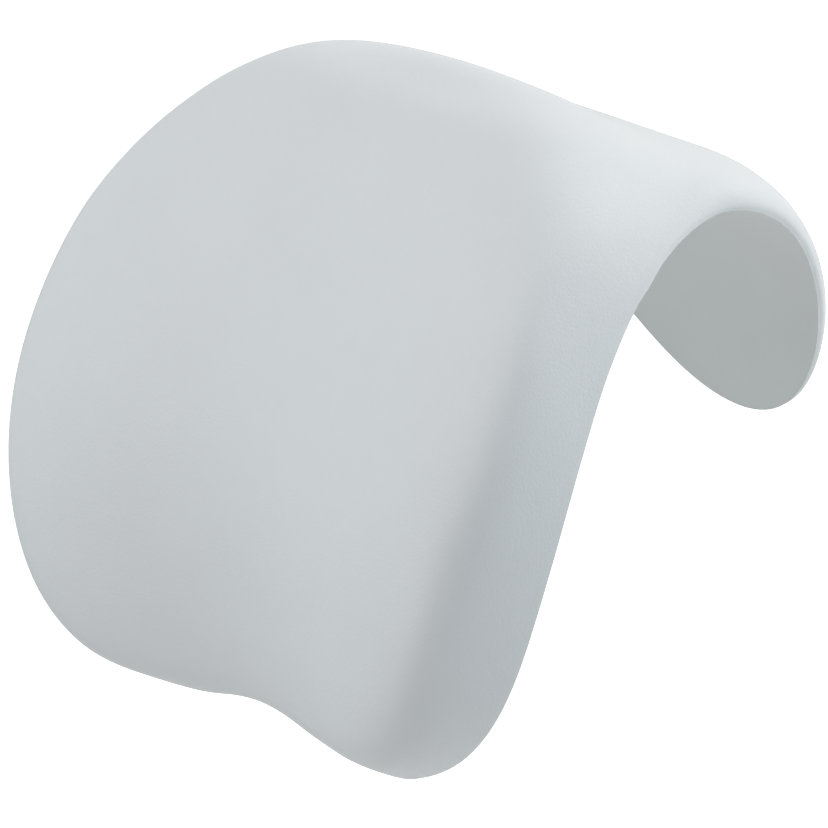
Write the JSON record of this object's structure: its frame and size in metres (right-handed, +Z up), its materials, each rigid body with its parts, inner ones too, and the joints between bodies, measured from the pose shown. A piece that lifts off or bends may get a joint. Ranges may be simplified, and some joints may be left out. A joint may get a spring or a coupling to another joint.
{
  "type": "bath pillow",
  "caption": "Soft head pillow for a bath or spa: a raised, neck-hollowed pad on the front leg of a springy arch that hooks over the tub wall.",
  "frame": {"origin": "crest of the arch's inside face, midway across, where the pillow sits on the tub wall", "axes": "+X along the tub wall, to the right of someone who faces the pad; +Y from the pad to the outside of the tub; +Z up"},
  "size_m": [0.28, 0.2613, 0.2341],
  "materials": {
    "cover": "soft polyurethane skin, pale grey, matt, with a fine even grain",
    "lining": "soft polyurethane skin, pale grey, smooth and matt",
    "soft_foam": "open-cell polyurethane foam, soft",
    "firm_foam": "polyurethane foam, firm",
    "spring_steel": "rolled spring strip",
    "tip_plastic": "moulded polypropylene"
  },
  "bodies": {
    "root": {"cover_skin": "cover", "lining_skin": "lining", "pad_foam": "soft_foam", "arch_foam": "firm_foam", "spring_strip_left": "spring_steel", "spring_strip_right": "spring_steel", "strip_tip_left_front": "tip_plastic", "strip_tip_left_rear": "tip_plastic", "strip_tip_right_front": "tip_plastic", "strip_tip_right_rear": "tip_plastic"}
  },
  "joints": []
}
